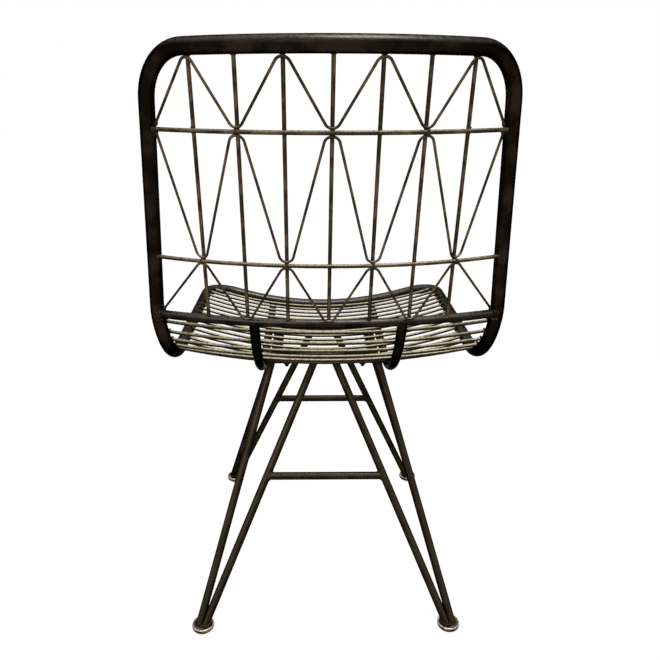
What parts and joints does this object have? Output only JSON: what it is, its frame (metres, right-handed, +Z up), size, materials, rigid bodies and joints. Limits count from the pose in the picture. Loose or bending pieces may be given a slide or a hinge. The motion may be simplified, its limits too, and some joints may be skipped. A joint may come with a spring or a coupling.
{
  "type": "dining chair",
  "caption": "Metal dining chair: bent tube frame with a zigzag wire back and a hanging wire seat, on splayed legs of paired rods bolted under the seat.",
  "frame": {"origin": "on the floor, at the centre of the chair's overall width and depth", "axes": "+Z up, the sitter faces -Y, and +X is the sitter's left"},
  "size_m": [0.488, 0.5731, 0.8655],
  "materials": {
    "frame_metal": "antique bronze-black, satin",
    "back_wire": "rubbed antique bronze, satin",
    "seat_wire": "rubbed antique bronze, satin",
    "leg_metal": "antique bronze-black, satin",
    "foot_metal": "bronze, polished",
    "mount_metal": "antique bronze-black, satin",
    "bolt_metal": "blackened"
  },
  "bodies": {
    "root": {"back_upright_1": "back_wire", "back_upright_2": "back_wire", "back_upright_3": "back_wire", "back_upright_4": "back_wire", "back_upright_5": "back_wire", "back_upright_6": "back_wire", "back_upright_7": "back_wire", "base_bar_front": "mount_metal", "base_bar_rear": "mount_metal", "frame_tube": "frame_metal", "front_brace": "leg_metal", "front_foot_left": "foot_metal", "front_foot_right": "foot_metal", "front_inner_rod_left": "leg_metal", "front_inner_rod_right": "leg_metal", "front_outer_rod_left": "leg_metal", "front_outer_rod_right": "leg_metal", "inner_rail_left": "frame_metal", "inner_rail_right": "frame_metal", "lower_cross_wire": "back_wire", "lower_rail": "frame_metal", "lower_zigzag": "back_wire", "middle_zigzag": "back_wire", "mount_bolts": "bolt_metal", "mount_nuts": "bolt_metal", "mount_strap_left": "mount_metal", "mount_strap_right": "mount_metal", "rear_brace": "leg_metal", "rear_foot_left": "foot_metal", "rear_foot_right": "foot_metal", "rear_inner_rod_left": "leg_metal", "rear_inner_rod_right": "leg_metal", "rear_outer_rod_left": "leg_metal", "rear_outer_rod_right": "leg_metal", "seat_bar_front": "mount_metal", "seat_bar_rear": "mount_metal", "seat_bend_wires": "seat_wire", "seat_wire_01": "seat_wire", "seat_wire_02": "seat_wire", "seat_wire_03": "seat_wire", "seat_wire_04": "seat_wire", "seat_wire_05": "seat_wire", "seat_wire_06": "seat_wire", "seat_wire_07": "seat_wire", "seat_wire_08": "seat_wire", "seat_wire_09": "seat_wire", "seat_wire_10": "seat_wire", "seat_wire_11": "seat_wire", "seat_wire_12": "seat_wire", "seat_wire_13": "seat_wire", "seat_wire_14": "seat_wire", "seat_wire_15": "seat_wire", "upper_cross_wire": "back_wire", "upper_zigzag": "back_wire"}
  },
  "joints": []
}
